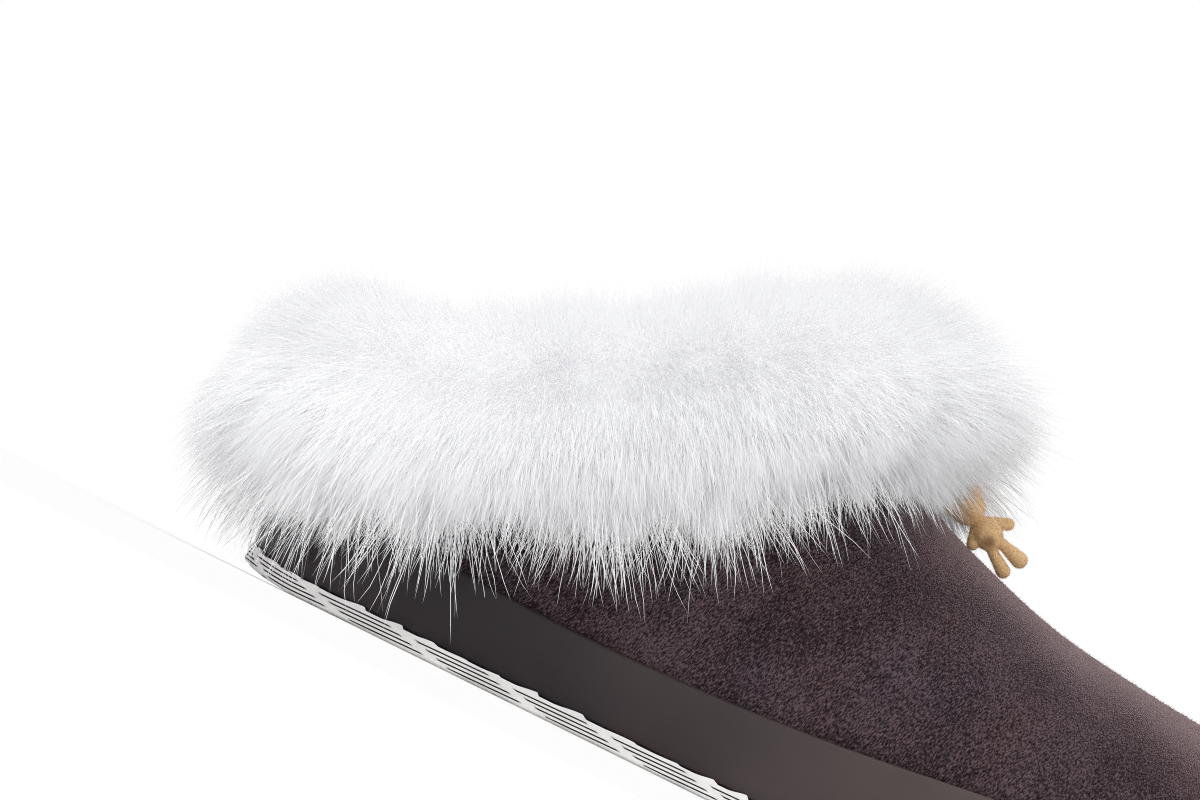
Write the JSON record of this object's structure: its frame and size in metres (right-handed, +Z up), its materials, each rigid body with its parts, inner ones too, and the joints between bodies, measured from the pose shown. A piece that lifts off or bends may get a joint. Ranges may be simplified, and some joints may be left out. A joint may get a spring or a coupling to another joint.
{
  "type": "fur mule",
  "caption": "Slip-on platform mule with a low back, a round-toed suede upper, a deep white fur collar round the opening and a small flocked toy on the instep.",
  "frame": {"origin": "on the floor under the middle of the whole mule's box", "axes": "+X along the foot to the toe, +Y to the inner side of a right foot, +Z up from the floor"},
  "size_m": [0.2788, 0.1298, 0.1243],
  "materials": {
    "tread_rubber": "matt moulded light grey rubber",
    "cup_skin": "smooth matt dark brown skin",
    "footbed": "short cream pile",
    "suede": "napped dark brown suede",
    "white_fur": "long white pile",
    "tan_flock": "short tan flock"
  },
  "bodies": {
    "root": {"outsole": "tread_rubber", "midsole": "cup_skin", "insole": "footbed", "upper": "suede", "fur_collar": "white_fur", "charm_bear": "tan_flock"}
  },
  "joints": []
}
